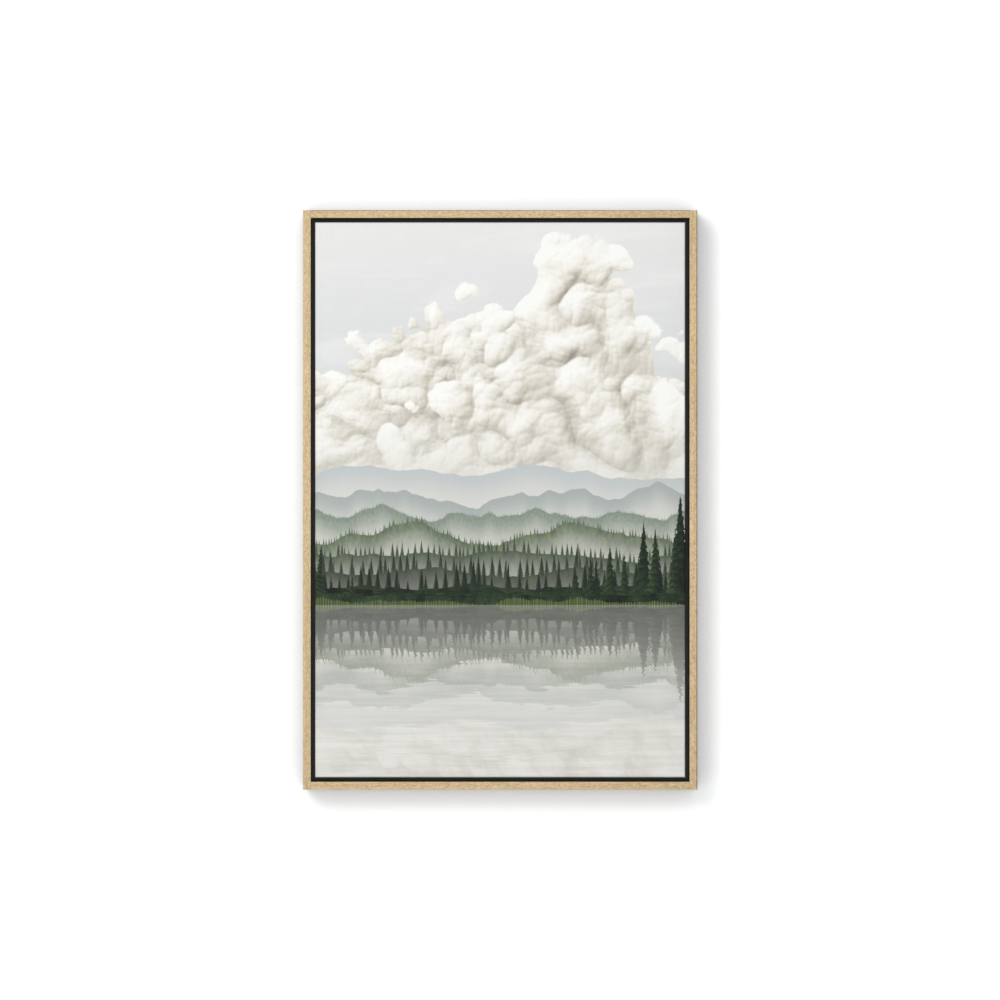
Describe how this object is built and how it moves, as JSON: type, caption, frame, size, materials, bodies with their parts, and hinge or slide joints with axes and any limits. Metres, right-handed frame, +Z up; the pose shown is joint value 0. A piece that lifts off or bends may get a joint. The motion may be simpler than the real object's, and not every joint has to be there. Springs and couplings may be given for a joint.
{
  "type": "framed canvas print",
  "caption": "Upright canvas print on a wooden stretcher, held from behind in a pale oak floating frame with a dark gap round it, hung on D-rings.",
  "frame": {"origin": "middle of the top ledge's back face, in the plane of the frame's back, where the frame meets the wall", "axes": "+Z up, +Y out of the frame's back towards the wall, so the print faces -Y; +X to the right as the print is looked at"},
  "size_m": [0.5326, 0.0467, 0.7825],
  "materials": {
    "oak": "planed oak with a clear matt oil, fine grain along each board",
    "black_paint": "matt black paint on wood",
    "printed_canvas": "matt printed cotton canvas, plain weave",
    "pine": "planed untreated pine",
    "beech": "sawn untreated beech",
    "zinc_steel": "bright zinc plating",
    "bumper_rubber": "matt soft rubber"
  },
  "bodies": {
    "frame": {"bumper_left": "bumper_rubber", "bumper_right": "bumper_rubber", "canvas": "printed_canvas", "canvas_screw_bottom_1": "zinc_steel", "canvas_screw_bottom_2": "zinc_steel", "canvas_screw_left_1": "zinc_steel", "canvas_screw_left_2": "zinc_steel", "canvas_screw_left_3": "zinc_steel", "canvas_screw_right_1": "zinc_steel", "canvas_screw_right_2": "zinc_steel", "canvas_screw_right_3": "zinc_steel", "canvas_screw_top_1": "zinc_steel", "canvas_screw_top_2": "zinc_steel", "cross_brace": "pine", "dowel_bottom_left_1": "beech", "dowel_bottom_left_2": "beech", "dowel_bottom_right_1": "beech", "dowel_bottom_right_2": "beech", "dowel_top_left_1": "beech", "dowel_top_left_2": "beech", "dowel_top_right_1": "beech", "dowel_top_right_2": "beech", "hanger_screw_left_1": "zinc_steel", "hanger_screw_left_2": "zinc_steel", "hanger_screw_right_1": "zinc_steel", "hanger_screw_right_2": "zinc_steel", "hanger_strap_left": "zinc_steel", "hanger_strap_right": "zinc_steel", "key_bottom_1": "beech", "key_bottom_2": "beech", "key_left_1": "beech", "key_left_2": "beech", "key_right_1": "beech", "key_right_2": "beech", "key_top_1": "beech", "key_top_2": "beech", "ledge_bottom": "black_paint", "ledge_left": "black_paint", "ledge_right": "black_paint", "ledge_top": "black_paint", "rail_bottom": "oak", "rail_top": "oak", "stile_left": "oak", "stile_right": "oak", "stretcher_bottom": "pine", "stretcher_left": "pine", "stretcher_right": "pine", "stretcher_top": "pine"},
    "ring_left": {"hanger_ring_left": "zinc_steel"},
    "ring_right": {"hanger_ring_right": "zinc_steel"}
  },
  "joints": [
    {"name": "ring_left_swing", "type": "hinge", "parent": "frame", "child": "ring_left", "pos_m": [-0.24075, 0.00235, -0.1445], "axis": [1, 0, 0], "range_deg": [0, 180]},
    {"name": "ring_right_swing", "type": "hinge", "parent": "frame", "child": "ring_right", "pos_m": [0.24075, 0.00235, -0.1445], "axis": [1, 0, 0], "range_deg": [0, 180]}
  ]
}
